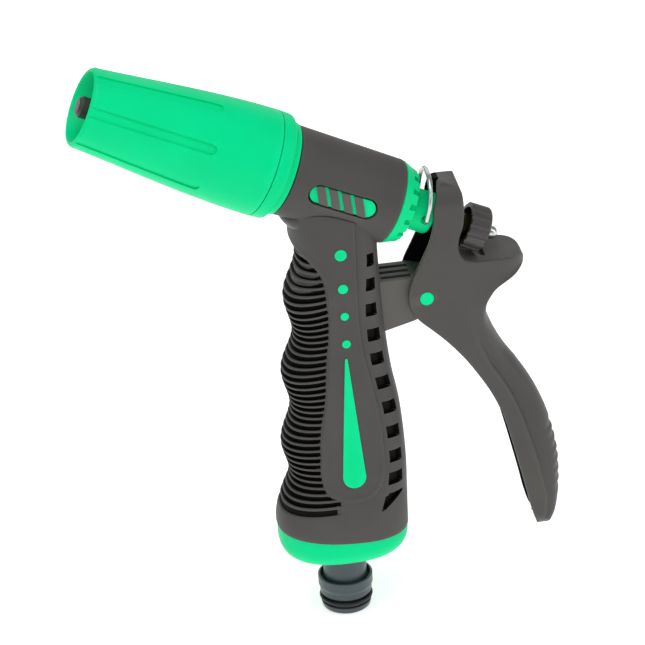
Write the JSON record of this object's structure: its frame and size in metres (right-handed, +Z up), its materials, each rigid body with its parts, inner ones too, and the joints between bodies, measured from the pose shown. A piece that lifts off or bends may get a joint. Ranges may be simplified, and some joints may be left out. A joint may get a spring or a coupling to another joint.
{
  "type": "pistol-grip hose spray gun",
  "caption": "Pistol-grip garden hose spray gun with a rear squeeze trigger, twist nozzle, flow knob, wire lock bail and push-on hose spigot.",
  "frame": {"origin": "centre of the inlet spigot's open end", "axes": "+Z up along the spigot and grip, -X towards the nozzle, Y = 0 is the plane of symmetry"},
  "size_m": [0.1466, 0.0328, 0.1916],
  "materials": {
    "green_plastic": "satin moulded plastic, bright spring green",
    "soft_grip": "matt soft-touch elastomer, warm dark grey",
    "trigger_plastic": "matt moulded plastic, warm dark grey",
    "dark_plastic": "matt moulded plastic, near black",
    "spigot_plastic": "satin moulded plastic, blue grey",
    "black_rubber": "smooth black rubber",
    "bright_steel": "bright drawn wire",
    "brass": "turned brass"
  },
  "bodies": {
    "root": {"barrel_core": "dark_plastic", "grip_cover": "soft_grip", "grip_half_left": "dark_plastic", "grip_half_right": "dark_plastic", "inlay_left": "green_plastic", "inlay_right": "green_plastic", "badge_left": "green_plastic", "badge_right": "green_plastic", "badge_bars_left": "soft_grip", "badge_bars_right": "soft_grip", "base_ring": "green_plastic", "inlet_spigot": "spigot_plastic", "inlet_oring": "black_rubber", "inlet_seal": "black_rubber", "water_tube": "spigot_plastic", "stem_guide": "green_plastic", "stem_oring": "black_rubber", "gland_nut": "green_plastic", "trigger_bracket": "trigger_plastic", "pivot_pin": "green_plastic"},
    "nozzle_slider": {"nozzle_oring": "black_rubber"},
    "nozzle": {"nozzle_shell": "green_plastic", "nozzle_collar": "green_plastic", "nozzle_core": "green_plastic"},
    "trigger": {"trigger_lever": "trigger_plastic"},
    "stem": {"valve_stem": "bright_steel", "stem_tip": "dark_plastic", "valve_washer": "black_rubber", "spring_washer": "bright_steel", "stem_clip": "bright_steel", "return_spring": "bright_steel"},
    "knob_slider": {"knob_insert": "brass"},
    "knob": {"flow_knob": "dark_plastic"},
    "bail": {"lock_bail": "bright_steel"}
  },
  "joints": [
    {"name": "nozzle_travel", "type": "slide", "parent": "root", "child": "nozzle_slider", "axis": [-0.9048, 0, 0.4258], "range_m": [0, 0.004]},
    {"name": "nozzle_twist", "type": "hinge", "parent": "nozzle_slider", "child": "nozzle", "pos_m": [0, 0, 0.1473], "axis": [-0.9048, 0, 0.4258], "range_deg": [0, 360]},
    {"name": "trigger_squeeze", "type": "hinge", "parent": "root", "child": "trigger", "pos_m": [0.028, 0, 0.1082], "axis": [0, 1, 0], "range_deg": [0, 15], "stiffness_Nm_per_rad": 0.5, "springref_deg": -28.65},
    {"name": "stem_slide", "type": "slide", "parent": "root", "child": "stem", "axis": [0.9048, 0, -0.4258], "range_m": [0, 0.0063], "deforming": ["return_spring"]},
    {"name": "knob_travel", "type": "slide", "parent": "stem", "child": "knob_slider", "axis": [0.9048, 0, -0.4258], "range_m": [0, 0.0014]},
    {"name": "knob_turn", "type": "hinge", "parent": "knob_slider", "child": "knob", "pos_m": [0.04434, 0, 0.12644], "axis": [0.9048, 0, -0.4258], "range_deg": [0, 720]},
    {"name": "bail_swing", "type": "hinge", "parent": "root", "child": "bail", "pos_m": [0.02877, 0, 0.13376], "axis": [0, 1, 0], "range_deg": [0, 40.1]}
  ],
  "couplings": [
    {"joint": "nozzle_twist", "follows": "nozzle_travel", "rad_per_m": 1570.8},
    {"joint": "stem_slide", "follows": "trigger_squeeze", "m_per_rad": 0.0238},
    {"joint": "knob_turn", "follows": "knob_travel", "rad_per_m": 8975.9},
    {"joint": "bail_swing", "follows": "trigger_squeeze", "ratio": 2.667}
  ]
}
